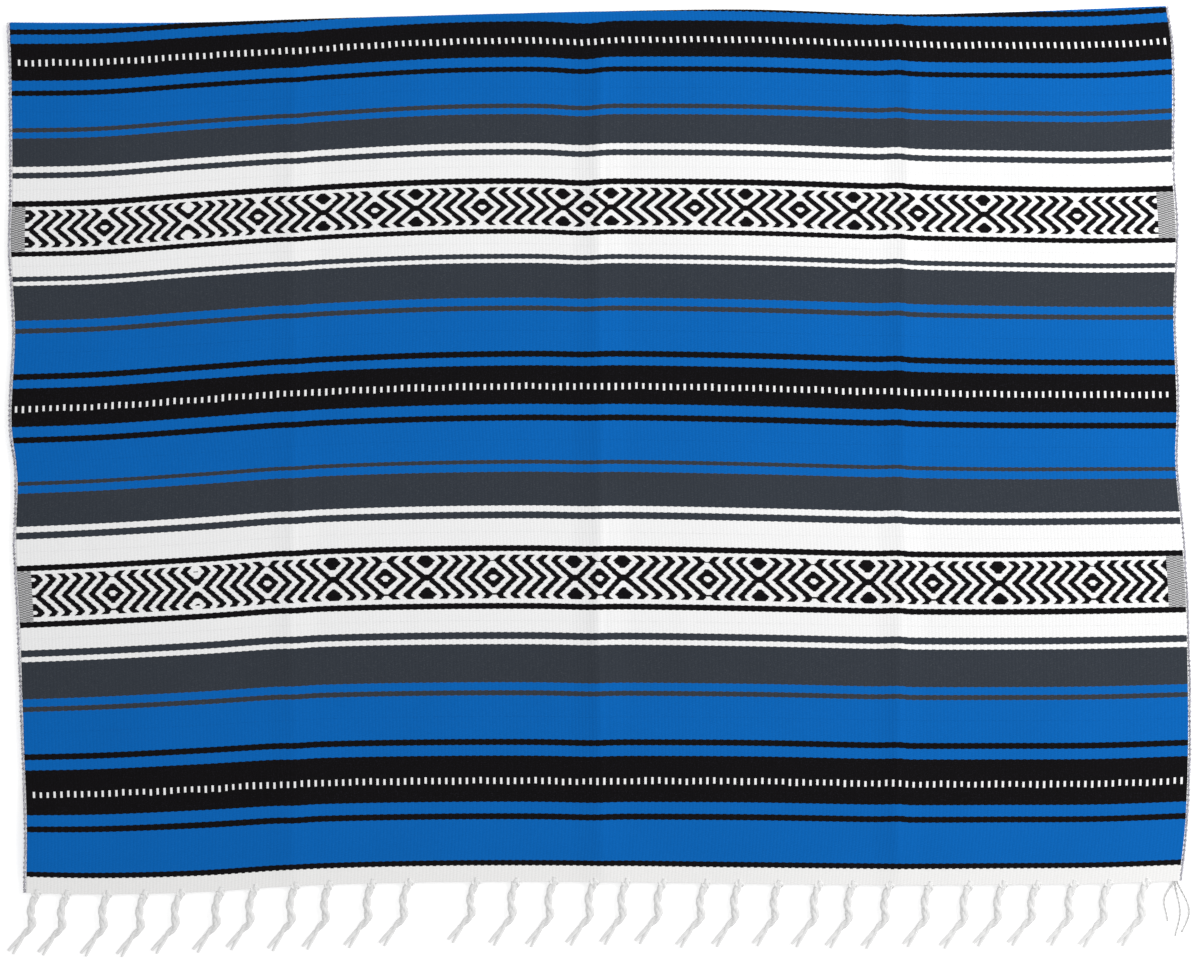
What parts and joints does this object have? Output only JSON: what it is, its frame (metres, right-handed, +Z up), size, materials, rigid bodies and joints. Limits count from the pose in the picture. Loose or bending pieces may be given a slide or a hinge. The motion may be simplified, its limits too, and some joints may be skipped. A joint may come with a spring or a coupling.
{
  "type": "folded mexican serape",
  "caption": "Handwoven striped cotton serape with figured bands and a knotted fringe, folded in half and laid flat.",
  "frame": {"origin": "middle of the footprint, on the surface that the folded serape lies on", "axes": "+X along the weft, across the width; +Y from the fringed hem to the fold; +Z up from the surface"},
  "size_m": [1.293, 1.0385, 0.0116],
  "materials": {
    "striped_web": "matte weft-faced cotton weave",
    "white_heading": "matte weft-faced cotton weave",
    "selvedge_cord": "matte twisted cotton warps",
    "fringe_cotton": "matte two-ply twisted cotton"
  },
  "bodies": {
    "root": {"web_upper_half": "striped_web", "web_fold": "striped_web", "web_lower_half": "striped_web", "heading_upper": "white_heading", "heading_lower": "white_heading", "selvedge_left": "selvedge_cord", "selvedge_right": "selvedge_cord", "fringe_upper": "fringe_cotton", "fringe_lower": "fringe_cotton"}
  },
  "joints": []
}
